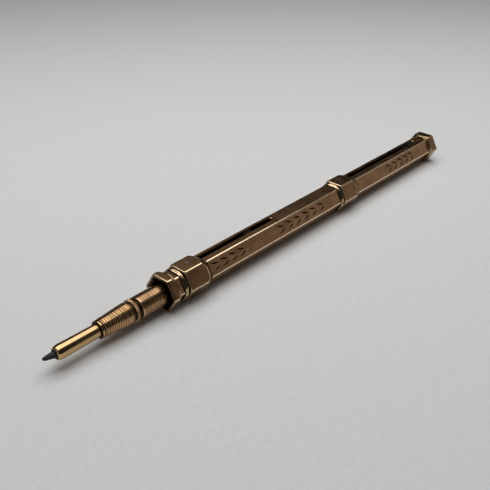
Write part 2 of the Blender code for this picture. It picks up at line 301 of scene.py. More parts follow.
# Depths below a ridge or a face: where something begins, and where it is complete
RIDGE_RUBBED_AND_HIGHLIT = (0.085, 0.01)
RIDGE_BARE = (0.12, 0.07)
SIDE_BARE = (0.024, 0.004)
TOP_BARE = (0.34, 0.28)
TOP_SHADE = (0.05, 0.01)

# Reaches of the painted shade on the barrel beside a slider's front and rear ends
SLIDER_SHADE_REACHES = (0.30, 0.85)
SLIDER_SHADE_CORE = 0.6
SLIDER_SHADE_AMOUNT = 0.9


def above(graph, reach, surface, depths):
    """0 deeper below a surface than the first depth, and 1 from the second depth outward."""
    begins, complete = depths
    return graph.stretch(reach, (surface - begins) * MM, (surface - complete) * MM)


def cut_dirt_and_bore_shade(graph, centred, from_axis):
    """Dirt in the engraving of the barrel's sides, and painted shade deeper in its slots and
    inside its bore.
    """
    top, left, right = (
        graph.math("ABSOLUTE", graph.facing(centred, (0, math.sin(turn), math.cos(turn))))
        for turn in (0, 60 * DEGREE, 120 * DEGREE)
    )
    on_side = above(graph, graph.math("MAXIMUM", left, right), BARREL_FLAT, SIDE_BARE)
    on_top = above(graph, top, BARREL_FLAT, TOP_BARE)
    on_ridge = above(graph, from_axis, RIDGE_REACH, RIDGE_BARE)
    bare = graph.math("MAXIMUM", graph.math("MAXIMUM", on_side, on_top), on_ridge)
    return graph.math("SUBTRACT", 1.0, bare)


def with_slider_shade(graph, here, dirt_and_shade_marks):
    """The barrel's dirt and painted shade, with more painted shade beside the ends of each slider
    where it is at rest.
    """
    along = graph.add("ShaderNodeSeparateXYZ")
    graph.put(along.inputs[0], here)
    for node in ("front_slider", "rear_slider"):
        for edge, reach in zip(span(node), SLIDER_SHADE_REACHES):
            away = graph.math("SUBTRACT", along.outputs["X"], MOUTH_X + edge * MM)
            away = graph.math("ABSOLUTE", away)
            close = graph.stretch(away, reach * MM, reach * SLIDER_SHADE_CORE * MM)
            close = graph.math("MULTIPLY", close, SLIDER_SHADE_AMOUNT)
            dirt_and_shade_marks = graph.math("MAXIMUM", dirt_and_shade_marks, close)
    return dirt_and_shade_marks


def barrel_fields(graph, here):
    """Where the barrel is rubbed, partly a painted highlight, at its ridges, where it has dirt
    and painted shade, and where its top face is darkened by painted shade."""
    centred = graph.vector_math("SUBTRACT", here, (0, 0, BARREL_Z))
    from_axis = graph.vector_math("LENGTH", graph.scaled(centred, (0, 1, 1)), output="Value")
    wear_and_highlight = above(graph, from_axis, RIDGE_REACH, RIDGE_RUBBED_AND_HIGHLIT)
    dirt_and_shade_marks = with_slider_shade(graph, here, cut_dirt_and_bore_shade(graph, centred, from_axis))
    top_shade = above(graph, graph.facing(centred, (0, 0, 1)), BARREL_FLAT, TOP_SHADE)
    return wear_and_highlight, dirt_and_shade_marks, top_shade


CLOUD_SCALE = 330.0
SPOT_SCALE = 1900.0
LINE_SCALE = 7500.0
STAIN_EDGE = (0.34, 0.70)
FRECKLE_EDGE = (0.56, 0.70)
PATCHY_EDGE = (0.20, 0.52)

# Shares of the tarnish colour, and how much of it covers the metal. The top face's share is
# painted shade, and the dirt's share is dirt and painted shade.
FRECKLE_SHARE = 0.35
TOP_SHADE_SHARE = 0.30
TOP_SHADE_AMOUNT = 0.62
DIRT_AND_SHADE_SHARE = 0.06
DIRT_AND_SHADE_AMOUNT = 0.97

# What clouds, lines, rubbing and painted highlight, and dirt and painted shade do to the
# roughness
CLOUD_ROUGHNESS = 0.35
LINE_ROUGHNESS = 0.16
RUBBED_SMOOTHNESS = 0.17
DIRT_AND_SHADE_ROUGHNESS = 0.25

LINE_DEPTH = 0.004
SPOT_DEPTH = 0.006
SPOT_STRENGTH = 0.35
CLOUD_DEPTH = 0.03
CLOUD_STRENGTH = 0.30


def shade(colour, share):
    """A darker share of a colour, with full alpha."""
    return tuple(share * value for value in colour[:3]) + (1,)


def metal_finish(graph, roughness, clouds, lines, rubbed_and_highlit, dirt_and_shade):
    """Roughness that varies with the clouds and lines, less where rubbed and where a highlight is
    painted, and more in dirt and painted shade.
    """
    cloudy = graph.math("MULTIPLY", graph.math("SUBTRACT", clouds, 0.5), CLOUD_ROUGHNESS)
    finish = graph.math("ADD", cloudy, roughness)
    lined = graph.math("MULTIPLY", graph.math("SUBTRACT", lines, 0.5), LINE_ROUGHNESS)
    finish = graph.math("ADD", finish, lined)
    finish = graph.math("SUBTRACT", finish, graph.math("MULTIPLY", rubbed_and_highlit, RUBBED_SMOOTHNESS))
    dirt_and_shade_part = graph.math("MULTIPLY", dirt_and_shade, DIRT_AND_SHADE_ROUGHNESS)
    return graph.math("ADD", finish, dirt_and_shade_part, clamp=True)


def aged_metal(
    name,
    base,
    tarnish,
    worn_and_highlit,
    roughness,
    grain,
    grain_depth=0.25,
    mottle=0.5,
    pits=0.3,
    on_barrel=False,
):
    """Old gilt metal: mottled tarnish, fine tool lines, pits, dirt and painted shade where it is
    cut in, and brighter metal where it is rubbed, partly a painted highlight.
    On the barrel its top face gets painted shade. A small grain number makes the lines long that
    way."""
    material, graph, shader = new_material(name)
    shader.inputs["Metallic"].default_value = 1.0
    here = graph.here()
    if on_barrel:
        wear_and_highlight, dirt_and_shade, top_shade = barrel_fields(graph, here)
    else:
        wear_and_highlight = graph.painted("wear_and_highlight")
        dirt_and_shade = graph.painted("dirt_and_shade")
    clouds = graph.noise(here, CLOUD_SCALE, detail=4.0, roughness=0.6)
    spots = graph.noise(here, SPOT_SCALE, detail=3.0, roughness=0.65)
    lines = graph.noise(graph.scaled(here, grain), LINE_SCALE, detail=2.0, roughness=0.5)
    stains = graph.math("MULTIPLY", graph.stretch(clouds, *STAIN_EDGE), mottle)
    colour = graph.mix(stains, base, tarnish)
    freckles = graph.math("MULTIPLY", graph.stretch(spots, *FRECKLE_EDGE), pits)
    colour = graph.mix(freckles, colour, shade(tarnish, FRECKLE_SHARE))
    # Painted shade: the barrel's top face is darkened towards the tarnish colour.
    if on_barrel:
        top_shaded = graph.math("MULTIPLY", top_shade, TOP_SHADE_AMOUNT)
        colour = graph.mix(top_shaded, colour, shade(tarnish, TOP_SHADE_SHARE))
    # Rubbed colour: real wear on the edges, and partly a painted highlight that brightens ridges
    # and bevels.
    rubbed_and_highlit = graph.math("MULTIPLY", wear_and_highlight, graph.stretch(spots, *PATCHY_EDGE), clamp=True)
    colour = graph.mix(rubbed_and_highlit, colour, worn_and_highlit)
    # Darkening: dirt in hollows, and painted shade in grooves, gaps, bores and beside the
    # sliders.
    dirt_and_shade_part = graph.math("MULTIPLY", dirt_and_shade, DIRT_AND_SHADE_AMOUNT)
    colour = graph.mix(dirt_and_shade_part, colour, shade(tarnish, DIRT_AND_SHADE_SHARE))
    graph.link(colour, shader.inputs["Base Color"])
    finish = metal_finish(graph, roughness, clouds, lines, rubbed_and_highlit, dirt_and_shade)
    graph.link(finish, shader.inputs["Roughness"])
    scratched = graph.bump(lines, LINE_DEPTH * MM, grain_depth)
    dented = graph.bump(spots, SPOT_DEPTH * MM, SPOT_STRENGTH, below=scratched)
    uneven = graph.bump(clouds, CLOUD_DEPTH * MM, CLOUD_STRENGTH, below=dented)
    graph.link(uneven, shader.inputs["Normal"])
    return material


GRAPHITE_DARK = (0.010, 0.010, 0.012, 1)
GRAPHITE_PALE = (0.040, 0.040, 0.046, 1)
GRAPHITE_METALLIC = 0.35
GRAPHITE_ROUGHNESS = 0.34
GRAPHITE_GRAIN_SCALE = 5200.0
GRAPHITE_GRAIN_EDGE = (0.35, 0.75)
GRAPHITE_GRAIN_DEPTH = 0.02
GRAPHITE_GRAIN_STRENGTH = 0.6
SMEAR_SCALE = 1500.0
SMEAR_STRETCH = (0.3, 1.0, 1.0)
SMEAR_ROUGHNESS = 0.3


def graphite_material():
    material, graph, shader = new_material("graphite_stick")
    here = graph.here()
    grains = graph.noise(here, GRAPHITE_GRAIN_SCALE, detail=3.0, roughness=0.7)
    smears = graph.noise(graph.scaled(here, SMEAR_STRETCH), SMEAR_SCALE, detail=2.0)
    pale = graph.stretch(grains, *GRAPHITE_GRAIN_EDGE)
    colour = graph.mix(pale, GRAPHITE_DARK, GRAPHITE_PALE)
    graph.link(colour, shader.inputs["Base Color"])
    shader.inputs["Metallic"].default_value = GRAPHITE_METALLIC
    smeared = graph.math("MULTIPLY", smears, SMEAR_ROUGHNESS)
    finish = graph.math("ADD", smeared, GRAPHITE_ROUGHNESS)
    graph.link(finish, shader.inputs["Roughness"])
    uneven = graph.bump(grains, GRAPHITE_GRAIN_DEPTH * MM, GRAPHITE_GRAIN_STRENGTH)
    graph.link(uneven, shader.inputs["Normal"])
    return material


# ---------------------------------------------------------------- swept pieces

ROUND_STEPS = 112
RIDGE_ZONE = 4.5
RIDGE_STEPS = 15
FACE_STEPS = 18
OUTLINE_STEP = 0.02
OUTER_COUNT = 150
BORE_COUNT = 26
DENSE = 4
NO_FLAT = 99.0
ROUND_ROUNDING = 0.3
BORE_ROUNDING_SHARE = 0.4
EDGE_WIDTH = 3.0
SHARP_ANGLE = 50


def round_angles(steps=ROUND_STEPS):
    return np.arange(steps) * 360 / steps


def all_sectors(sector):
    """Angles near one ridge, repeated at all six and measured from straight up."""
    return np.concatenate([sector + 30 + 60 * turn for turn in range(6)])


def ridge_angles():
    """Angles from straight up, closer together at the six ridges."""
    near = np.linspace(-RIDGE_ZONE, RIDGE_ZONE, RIDGE_STEPS)
    between = np.linspace(RIDGE_ZONE, 60 - RIDGE_ZONE, FACE_STEPS + 2)[1:-1]
    return all_sectors(np.concatenate([near, between]))


def hexagon_reach(angles, flat, rounding):
    """From the axis to a hexagon with rounded ridges, at angles measured from straight up."""
    from_ridge = np.abs(angles % 60 - 30) * DEGREE
    from_flat = 30 * DEGREE - from_ridge
    corner = (flat - rounding) / math.cos(30 * DEGREE)
    inside = np.maximum(rounding**2 - (corner * np.sin(from_ridge)) ** 2, 0)
    on_ridge = corner * np.cos(from_ridge) + np.sqrt(inside)
    on_flat = flat / np.cos(from_flat)
    is_flat = on_flat * np.sin(from_flat) < (flat - rounding) * math.tan(30 * DEGREE)
    return np.where(is_flat, on_flat, on_ridge)


def fine_outline(keys):
    """Points along straight runs between (x, radius, flat) keys, a small step apart."""
    rows = []
    for start, end in zip(keys, keys[1:]):
        reach = abs(end[0] - start[0]) + abs(min(end[1], NO_FLAT) - min(start[1], NO_FLAT))
        count = max(2, int(reach / OUTLINE_STEP))
        share = np.linspace(0, 1, count, endpoint=False)[:, None]
        rows.append(np.array(start) * (1 - share) + np.array(end) * share)
    rows.append(np.array([keys[-1]], float))
    return np.concatenate(rows)


def outline_reach(outline, angles, rounding):
    """From the axis to each outline point at each angle: the nearer of circle and hexagon."""
    flat = outline[:, 2:3]
    turned = outline[:, 1:2]
    hexagon = hexagon_reach(angles[None, :], np.minimum(flat, NO_FLAT), rounding)
    return np.minimum(turned, np.where(flat < NO_FLAT, hexagon, NO_FLAT))


def even_points(line, count):
    """An outline of (x, reach) points, with its points made an even distance apart."""
    steps = np.hypot(*np.diff(line, axis=0).T)
    along = np.concatenate([[0], np.cumsum(steps)])
    wanted = np.linspace(0, along[-1], count)
    return np.column_stack([np.interp(wanted, along, values) for values in line.T])


def softened(values, width):
    """Rubs the sharp edges of a closed loop down, over a few points."""
    reach = int(4 * width) + 1
    offsets = np.arange(-reach, reach + 1)
    weights = np.exp(-0.5 * (offsets / width) ** 2)
    weights /= weights.sum()
    total = np.zeros_like(values)
    for offset, weight in zip(offsets, weights):
        total += weight * np.roll(values, offset, axis=0)
    return total


def closed_loop(outside, inside, rub, outer_count, bore_count):
    """One closed outline: from front to rear outside, and back through the bore. The outside
    is rubbed while it is dense, and then keeps its share of the points."""
    dense_count = DENSE * outer_count
    whole = np.concatenate([inside[-1:], outside, inside[:1]])
    dense = even_points(whole, dense_count + 1)
    back = even_points(inside, bore_count + 1)
    step = np.hypot(*np.diff(dense, axis=0).T).mean()
    loop = np.concatenate([dense[:-1], back[:-1]])
    soft = softened(loop, rub / step)
    return np.concatenate([soft[:dense_count:DENSE], loop[dense_count:]])


def sweep(outer, bore, angles, rounding, rub, outer_count=OUTER_COUNT, bore_count=BORE_COUNT):
    """A ring-shaped grid. Outer and bore are (x, radius, flat) keys, from front to rear.
    Returns its x and its reach at each outline point and angle."""
    outer = fine_outline(outer)
    bore = fine_outline(bore)[::-1]
    outer_reach = outline_reach(outer, angles, rounding)
    bore_reach = outline_reach(bore, angles, rounding * BORE_ROUNDING_SHARE)
    grid = np.zeros((outer_count + bore_count, len(angles), 2))
    for column in range(len(angles)):
        outside = np.column_stack([outer[:, 0], outer_reach[:, column]])
        inside = np.column_stack([bore[:, 0], bore_reach[:, column]])
        grid[:, column] = closed_loop(outside, inside, rub, outer_count, bore_count)
    return grid[..., 0], grid[..., 1]


def outward(xs, reaches):
    """Which way each point faces in its own outline, as (along x, along the radius)."""
    run = np.roll(xs, -1, axis=0) - np.roll(xs, 1, axis=0)
    rise = np.roll(reaches, -1, axis=0) - np.roll(reaches, 1, axis=0)
    length = np.maximum(np.hypot(run, rise), 1e-9)
    return -rise / length, run / length


def edge_fields(xs, reaches, depth):
    """How far each point stands out from its surroundings, and how far it lies in."""
    smooth_x = softened(xs, EDGE_WIDTH)
    smooth_reach = softened(reaches, EDGE_WIDTH)
    face_x, face_reach = outward(xs, reaches)
    proud = ((xs - smooth_x) * face_x + (reaches - smooth_reach) * face_reach) / depth
    return np.clip(proud, 0, 1), np.clip(-proud, 0, 1)


def skin_faces(rows, columns, closed, first=0):
    """Faces between rows of points that are numbered from first. Rows that aren't joined end
    to end are capped."""
    faces = []
    for row in range(rows if closed else rows - 1):
        near = first + row * columns
        far = first + (row + 1) % rows * columns
        for column in range(columns):
            beside = (column + 1) % columns
            faces.append((near + column, near + beside, far + beside, far + column))
    if not closed:
        last = first + (rows - 1) * columns
        faces.append(tuple(range(first, first + columns))[::-1])
        faces.append(tuple(range(last, last + columns)))
    return faces


def grid_piece(name, points, closed=True, fields=None):
    """A closed skin over rows of points, and the values that its mesh holds at each point."""
    rows, columns = points.shape[:2]
    mesh = bpy.data.meshes.new(name)
    mesh.from_pydata(points.reshape(-1, 3).tolist(), [], skin_faces(rows, columns, closed))
    for field, values in (fields or {}).items():
        layer = mesh.attributes.new(field, "FLOAT", "POINT")
        layer.data.foreach_set("value", values.reshape(-1).astype(np.float32))
    return link_piece(name, mesh)


def aged_grid_piece(name, xs, reaches, angles, axis_z, wear_and_highlight, dirt_and_shade):
    """A swept piece that holds where it is rubbed and given a painted highlight, and where it has
    dirt and painted shade.
    """
    fields = {"wear_and_highlight": np.clip(wear_and_highlight, 0, 1), "dirt_and_shade": np.clip(dirt_and_shade, 0, 1)}
    return grid_piece(name, swept_points(xs, reaches, angles, axis_z), fields=fields)


def link_piece(name, mesh):
    """An object for the mesh, with its faces turned outward and its steep edges kept sharp."""
    skin = bmesh.new()
    skin.from_mesh(mesh)
    bmesh.ops.recalc_face_normals(skin, faces=skin.faces)
    if skin.calc_volume(signed=True) < 0:
        bmesh.ops.reverse_faces(skin, faces=skin.faces)
    skin.to_mesh(mesh)
    skin.free()
    mesh.shade_smooth()
    mesh.set_sharp_from_angle(angle=SHARP_ANGLE * DEGREE)
    piece = bpy.data.objects.new(name, mesh)
    bpy.context.scene.collection.objects.link(piece)
    return piece


def finish_piece(piece, body, nodes, material):
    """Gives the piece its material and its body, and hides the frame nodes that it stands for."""
    piece.data.materials.append(material)
    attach(piece, body)
    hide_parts(*nodes)


def swept_points(xs, reaches, angles, axis_z, shift_z=None):
    turn = angles[None, :] * DEGREE
    points = np.zeros(xs.shape + (3,))
    points[..., 0] = MOUTH_X + xs * MM
    points[..., 1] = -reaches * np.sin(turn) * MM
    points[..., 2] = axis_z + reaches * np.cos(turn) * MM
    if shift_z is not None:
        points[..., 2] += shift_z * MM
    return points


# ---------------------------------------------------------------- hexagonal rings and sliders

BEYOND_RIDGE = 4.3
HEXAGON_ROUNDING = 0.38
HEXAGON_RUB = 0.045
HEXAGON_EDGE_DEPTH = 0.035
RIDGE_WEAR_AND_HIGHLIGHT_WIDTH = 3.2
ON_HEXAGON = 0.985


def band(xs, start, end):
    """1 between two places along the barrel, and 0 a short way past them."""
    return np.exp(-(((xs - (start + end) / 2) / ((end - start) / 2)) ** 6))


def with_bands(field, xs, bands):
    """The field with (start, end, amount) bands along the barrel added."""
    for start, end, amount in bands:
        field = field + amount * band(xs, start, end)
    return field


def ridge_wear_and_highlight(reaches, angles, flat):
    """Wear along a hexagon's ridges, partly a painted highlight, where the outline reaches them.
    """
    from_ridge = np.abs(angles % 60 - 30)[None, :]
    on_hexagon = reaches > flat * ON_HEXAGON / np.cos(30 * DEGREE - from_ridge * DEGREE)
    return np.exp(-((from_ridge / RIDGE_WEAR_AND_HIGHLIGHT_WIDTH) ** 2)) * on_hexagon


def hexagonal_piece(node, outer, bore, body, material, highlight_bands=(), dirt_and_shade_marks=()):
    """A ring or slider. Highlight bands are painted highlight, and the marks are dirt and painted
    shade, each (start, end, amount) along the barrel. The bore is all painted shade.
    """
    angles = ridge_angles()
    xs, reaches = sweep(outer, bore, angles, HEXAGON_ROUNDING, HEXAGON_RUB)
    wear_and_highlight, dirt_and_shade = edge_fields(xs, reaches, HEXAGON_EDGE_DEPTH)
    widest = max(flat for x, turned, flat in outer)
    wear_and_highlight = with_bands(wear_and_highlight + ridge_wear_and_highlight(reaches, angles, widest), xs, highlight_bands)
    dirt_and_shade = with_bands(dirt_and_shade, xs, dirt_and_shade_marks)
    # Painted shade: the whole bore is made dark.
    dirt_and_shade[OUTER_COUNT:] = 1
    piece = aged_grid_piece(node + "_fine", xs, reaches, angles, BARREL_Z, wear_and_highlight, dirt_and_shade)
    finish_piece(piece, body, [node], material)


def mouth_ring(material):
    """The front ring: a nut with a recessed mouth, and a turned neck behind it."""
    front, rear = span("mouth_ring")
    flat = RING_FLAT
    outer = [
        (front, 3.99, flat - 0.13),
        (front + 0.22, BEYOND_RIDGE, flat),
        (front + 1.15, BEYOND_RIDGE, flat),
        (front + 1.25, 4.10, flat),
        (front + 1.74, 3.70, flat),
        (front + 1.79, 3.52, flat),
        (front + 1.94, 3.52, flat),
        (front + 1.98, 3.60, flat),
        (rear, 3.58, flat),
    ]
    socket = BARREL_FLAT + SLIDE_FIT
    bore = [
        (front, NO_FLAT, BORE_FLAT + 0.40),
        (front + 0.30, NO_FLAT, BORE_FLAT + 0.36),
        (front + 0.34, NO_FLAT, BORE_FLAT),
        (front + 0.41, NO_FLAT, BORE_FLAT),
        (front + 0.43, NO_FLAT, socket),
        (rear, NO_FLAT, socket),
    ]
    # Painted highlight: a bright line along the nut's front bevel.
    highlight_bands = [(front + 0.03, front + 0.25, 0.7)]
    # Painted shade on the front face and in the groove between nut and neck.
    dirt_and_shade_marks = [(front - 0.12, front + 0.03, 0.6), (front + 1.76, front + 1.95, 1.0)]
    hexagonal_piece("mouth_ring", outer, bore, "holder", material, highlight_bands, dirt_and_shade_marks)


def end_ring(material):
    """The rear ring: a turned neck, and a nut that is rounded off behind."""
    front, rear = span("end_ring")
    flat = RING_FLAT
    outer = [
        (front, 3.52, flat),
        (front + 0.20, 3.58, flat),
        (front + 0.24, 3.46, flat),
        (front + 0.40, 3.46, flat),
        (front + 0.44, 3.66, flat),
        (front + 1.05, 4.12, flat),
        (front + 1.15, BEYOND_RIDGE, flat),
        (rear - 0.90, BEYOND_RIDGE, flat),
        (rear - 0.45, 4.02, flat - 0.06),
        (rear - 0.15, 3.82, flat - 0.20),
        (rear, 3.50, flat - 0.42),
    ]
    socket = BARREL_FLAT + SLIDE_FIT
    bore = [
        (front, NO_FLAT, socket),
        (rear - 0.41, NO_FLAT, socket),
        (rear - 0.38, NO_FLAT, BORE_FLAT),
        (rear, NO_FLAT, BORE_FLAT + 0.15),
    ]
    # Painted shade in the groove of the neck.
    dirt_and_shade_marks = [(front + 0.24, front + 0.42, 1.0)]
    hexagonal_piece("end_ring", outer, bore, "holder", material, dirt_and_shade_marks=dirt_and_shade_marks)


def slider(side, body, material):
    """A slider with a bevelled lip, a groove and a turned rear end."""
    front, rear = span(side + "_slider")
    flat = SLIDER_FLAT
    outer = [
        (front, 3.46, 3.27),
        (front + 0.68, 3.57, 3.50),
        (front + 0.71, 3.30, 3.50),
        (front + 1.10, 3.30, 3.50),
        (front + 1.13, 3.74, flat - 0.06),
        (front + 1.27, 4.00, flat),
        (front + 1.34, BEYOND_RIDGE, flat),
        (rear - 1.20, BEYOND_RIDGE, flat),
        (rear - 1.10, 4.08, flat),
        (rear - 0.35, 3.68, flat),
        (rear, 3.50, flat - 0.15),
    ]
    slide = BARREL_FLAT + SLIDE_FIT
    bore = [(front, NO_FLAT, slide + 0.08), (front + 0.3, NO_FLAT, slide), (rear, NO_FLAT, slide)]
    # Painted highlight along the lip.
    highlight_bands = [(front + 0.05, front + 0.66, 0.15)]
    # Painted shade on the lip's front face and in the groove behind the lip.
    dirt_and_shade_marks = [(front - 0.12, front + 0.03, 1.0), (front + 0.69, front + 1.12, 1.0)]
    hexagonal_piece(side + "_slider", outer, bore, body, material, highlight_bands, dirt_and_shade_marks)


PIN_PROUD = 0.03
PIN_DOME = 0.06
PIN_STEPS = 12
PIN_SIDES = 48
PIN_LEAST_SHARE = 0.02


def slider_pin(side, body, material):
    """The riveted head of the slider's pin, slightly domed."""
    low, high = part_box(side + "_slider_pin")
    centre = (low + high) / 2
    reach = (high.x - low.x) / 2
    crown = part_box(side + "_slider")[1].z + PIN_PROUD * MM
    rows = [(PIN_LEAST_SHARE, low.z), (1.0, low.z), (1.0, crown - PIN_DOME * MM)]
    for step in range(1, PIN_STEPS):
        rise = step * math.pi / 2 / PIN_STEPS
        rows.append((math.cos(rise), crown - PIN_DOME * MM * (1 - math.sin(rise))))
    turn = np.arange(PIN_SIDES) * 2 * math.pi / PIN_SIDES
    points = np.zeros((len(rows), PIN_SIDES, 3))
    for row, (share, z) in enumerate(rows):
        points[row, :, 0] = centre.x + reach * share * np.cos(turn)
        points[row, :, 1] = centre.y + reach * share * np.sin(turn)
        points[row, :, 2] = z
    piece = grid_piece(side + "_pin_head", points, closed=False)
    finish_piece(piece, body, [side + "_slider_pin"], material)


# ---------------------------------------------------------------- barrel

SLOT_WIDTH = 1.28
SLOT_Y = (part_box("front_slider_pin")[0].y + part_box("front_slider_pin")[1].y) / 2 / MM
SLOT_ROOM = 0.1
SLOT_ENDS = {"front": 34.14, "rear": 95.8}
SLOT_END_STEPS = 20

BARREL_BEVEL = 0.08
BORE_ROUNDING = 0.08
BARREL_RIDGE_ZONE = 4.2
BARREL_FACE_ANGLES = [6.0, 54.0]
BARREL_SHARP_ANGLE = 14

# where it starts, pairs of strokes, pitch
SPRAYS = ((11.8, 4, 2.6), (32.8, 6, 2.95), (77.7, 5, 2.75))
# side of the stem, how far behind the other stroke of its pair
STROKES = ((-1, 0.0), (1, 0.35))
LEAF_LENGTH = 3.3
LEAF_BODY = 0.72
LEAF_SPREAD = 0.95
LEAF_WIDTH = 0.70
LEAF_DEPTH = 0.17
LEAF_FULLNESS = 0.7
LEAF_LEAST = 0.03
LEAF_STEPS = 14


def barrel_blank():
    """The hexagonal tube before its slots and engraving are cut."""
    front, rear = span("barrel")
    near = np.linspace(-BARREL_RIDGE_ZONE, BARREL_RIDGE_ZONE, RIDGE_STEPS)
    angles = all_sectors(np.concatenate([near, BARREL_FACE_ANGLES]))
    outer = hexagon_reach(angles, BARREL_FLAT, RIDGE_ROUNDING)
    inner = hexagon_reach(angles, BORE_FLAT, BORE_ROUNDING)
    rows = [
        (front, outer - BARREL_BEVEL),
        (front + BARREL_BEVEL, outer),
        (rear - BARREL_BEVEL, outer),
        (rear, outer - BARREL_BEVEL),
        (rear, inner),
        (front, inner),
    ]
    xs = np.array([[x] * len(angles) for x, reach in rows])
    reaches = np.array([reach for x, reach in rows])
    return grid_piece("barrel_fine", swept_points(xs, reaches, angles, BARREL_Z))


def slot_loop(x_start, x_end, half_width, z):
    """A round-ended slot's outline at one height."""
    points = []
    for centre, first in ((x_end - half_width, -90), (x_start + half_width, 90)):
        for step in range(SLOT_END_STEPS + 1):
            angle = (first + 180 * step / SLOT_END_STEPS) * DEGREE
            x = centre + half_width * math.cos(angle)
            y = SLOT_Y + half_width * math.sin(angle)
            points.append(place(x, y, z))
    return points


def slot_cutter(side):
    """A slot whose upper edge is rubbed into a small bevel, and more so at its rear end."""
    pin_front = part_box(side + "_slider_pin")[0].x
    start = (pin_front - MOUTH_X) / MM - SLOT_ROOM
    end = SLOT_ENDS[side]
    half = SLOT_WIDTH / 2
    loops = [
        slot_loop(start, end - 0.03, half - 0.02, BORE_FLAT - 0.5),
        slot_loop(start, end - 0.03, half - 0.02, BARREL_FLAT - 0.15),
        slot_loop(start - 0.02, end + 0.15, half + 0.02, BARREL_FLAT),
        slot_loop(start - 0.06, end + 0.45, half + 0.07, BARREL_FLAT + 0.25),
    ]
    return grid_piece(side + "_slot_cutter", np.array(loops), closed=False)


def on_face(x, across, height, face_angle):
    """A point on the barrel face that looks towards this angle. Across runs down the face."""
    turn = face_angle * DEGREE
    reach = BARREL_FLAT + height
    y = -(reach * math.sin(turn) + across * math.cos(turn))
    z = reach * math.cos(turn) - across * math.sin(turn)
    return place(x, y, z)


def leaf(x, side_sign, face_angle):
    """One engraved stroke: broad at its outer front end, and thin where it joins the stem."""
    loops = []
    for step in range(LEAF_STEPS + 1):
        share = step / LEAF_STEPS
        along = x + LEAF_LENGTH * share
        across = side_sign * LEAF_SPREAD * (1 - share)
        body = math.sin(math.pi * min(1.0, share / LEAF_BODY)) ** LEAF_FULLNESS
        half = max(LEAF_LEAST, LEAF_WIDTH * 0.5 * body)
        depth = max(LEAF_LEAST, LEAF_DEPTH * body)
        section = [(-half * 1.5, half * 0.5), (half * 1.5, half * 0.5), (0.0, -depth)]
        loops.append([on_face(along, across + offset, z, face_angle) for offset, z in section])
    return np.array(loops)


def leaf_cutter(face_angle, name):
    """All the strokes on one face, as one cutter of separate bodies."""
    vertices = []
    faces = []
    for start, pairs, pitch in SPRAYS:
        for pair in range(pairs):
            for side_sign, lag in STROKES:
                points = leaf(start + pitch * pair + lag, side_sign, face_angle)
                rows, columns = points.shape[:2]
                faces += skin_faces(rows, columns, closed=False, first=len(vertices))
                vertices += points.reshape(-1, 3).tolist()
    mesh = bpy.data.meshes.new(name)
    mesh.from_pydata(vertices, [], faces)
    return link_piece(name, mesh)


def cut_away(piece, cutters):
    """Cuts the cutters out of the piece, keeps the result and removes the cutters."""
    for cutter in cutters:
        modifier = piece.modifiers.new(cutter.name, "BOOLEAN")
        modifier.operation = "DIFFERENCE"
        modifier.object = cutter
        modifier.solver = "EXACT"
    evaluated = piece.evaluated_get(bpy.context.evaluated_depsgraph_get())
    result = bpy.data.meshes.new_from_object(evaluated)
    piece.modifiers.clear()
    piece.data = result
    for cutter in cutters:
        bpy.data.objects.remove(cutter, do_unlink=True)


def barrel(material):
    piece = barrel_blank()
    cutters = [slot_cutter("front"), slot_cutter("rear")]
    cutters += [leaf_cutter(60, "near_leaves"), leaf_cutter(-60, "far_leaves")]
    cut_away(piece, cutters)
    piece.data.shade_smooth()
    piece.data.set_sharp_from_angle(angle=BARREL_SHARP_ANGLE * DEGREE)
    finish_piece(piece, "holder", ["barrel"], material)


# ---------------------------------------------------------------- turned pieces
TURNED_RUB = 0.03
NOZZLE_RUB = 0.05
TURNED_EDGE_DEPTH = 0.03


def turned_piece(
    name,
    node,
    body,
    outer,
    bore,
    material,
    outer_count,
    bore_count=BORE_COUNT,
    sides=ROUND_STEPS,
    rub=TURNED_RUB,
    relief=None,
    dirt_and_shade_marks=(),
):
    """A turned piece on the tubes' axis. Outer and bore are (x, radius) keys, and relief
    gives each point a new reach. The marks of dirt and painted shade are (start, end, amount)
    along x."""
    angles = round_angles(sides)
    outer = [(x, reach, NO_FLAT) for x, reach in outer]
    bore = [(x, reach, NO_FLAT) for x, reach in bore]
    xs, reaches = sweep(outer, bore, angles, ROUND_ROUNDING, rub, outer_count, bore_count)
    if relief is not None:
        reaches = relief(xs, reaches, angles)
    wear_and_highlight, dirt_and_shade = edge_fields(xs, reaches, TURNED_EDGE_DEPTH)
    dirt_and_shade = with_bands(dirt_and_shade, xs, dirt_and_shade_marks)
    piece = aged_grid_piece(name, xs, reaches, angles, TUBE_Z, wear_and_highlight, dirt_and_shade)
    finish_piece(piece, body, [node], material)


# Least and most, as shares of the depth and spacing, and the width itself
RING_DEPTHS = (0.35, 1.0)
RING_WIDTHS = (0.05, 0.10)
RING_SPACINGS = (0.6, 1.5)


def tool_rings(spacing, depth, seed, start, end, outside):
    """Fine grooves that a lathe tool leaves, unevenly spaced, on the outer side only."""
    draw = np.random.default_rng(seed)
    places = []
    x = start
    while x < end:
        deep = depth * draw.uniform(*RING_DEPTHS)
        width = draw.uniform(*RING_WIDTHS)
        places.append((x, deep, width))
        x += spacing * draw.uniform(*RING_SPACINGS)

    def relief(xs, reaches, angles):
        cut = np.zeros_like(xs)
        for centre, deep, width in places:
            cut = np.maximum(cut, deep * np.exp(-(((xs - centre) / width) ** 2)))
        return reaches - cut * (reaches > outside)

    return relief


